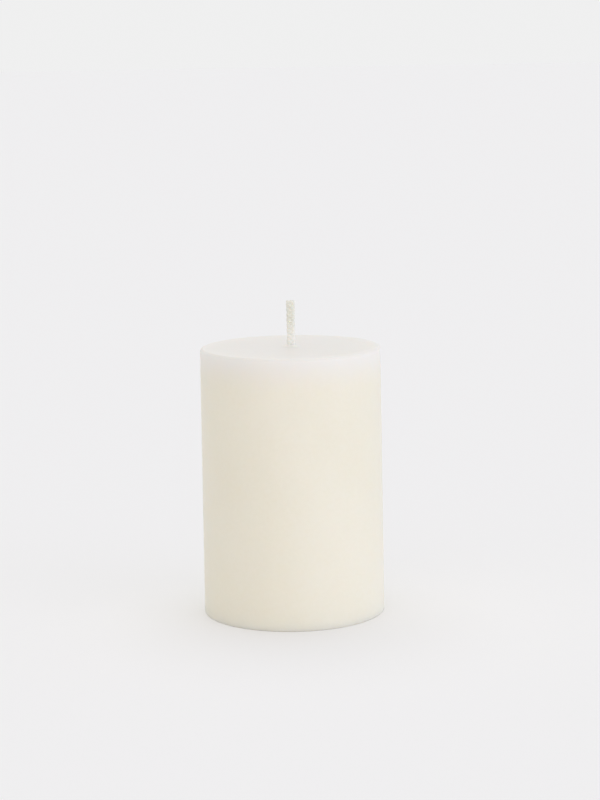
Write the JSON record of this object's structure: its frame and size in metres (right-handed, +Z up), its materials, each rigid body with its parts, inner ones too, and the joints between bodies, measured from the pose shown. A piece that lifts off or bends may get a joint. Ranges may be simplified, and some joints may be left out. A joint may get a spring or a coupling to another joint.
{
  "type": "pillar candle",
  "caption": "Plain cylindrical wax candle with a softly rounded rim and an upright plaited wick, standing free on its flat foot.",
  "frame": {"origin": "middle of the standing face, on the candle's axis", "axes": "+Z up along the candle's axis, towards the wick's cut end; -Y towards the picture's viewer; +X to the viewer's right"},
  "size_m": [0.0692, 0.0692, 0.1194],
  "materials": {
    "wax": "smooth ivory wax, satin, light passes a few millimetres into it",
    "waxed_cotton": "plaited cotton yarn primed with wax",
    "tinplate": "bright rolled tinplate"
  },
  "bodies": {
    "root": {"wax_pillar": "wax", "wick": "waxed_cotton", "wick_sustainer": "tinplate"}
  },
  "joints": []
}
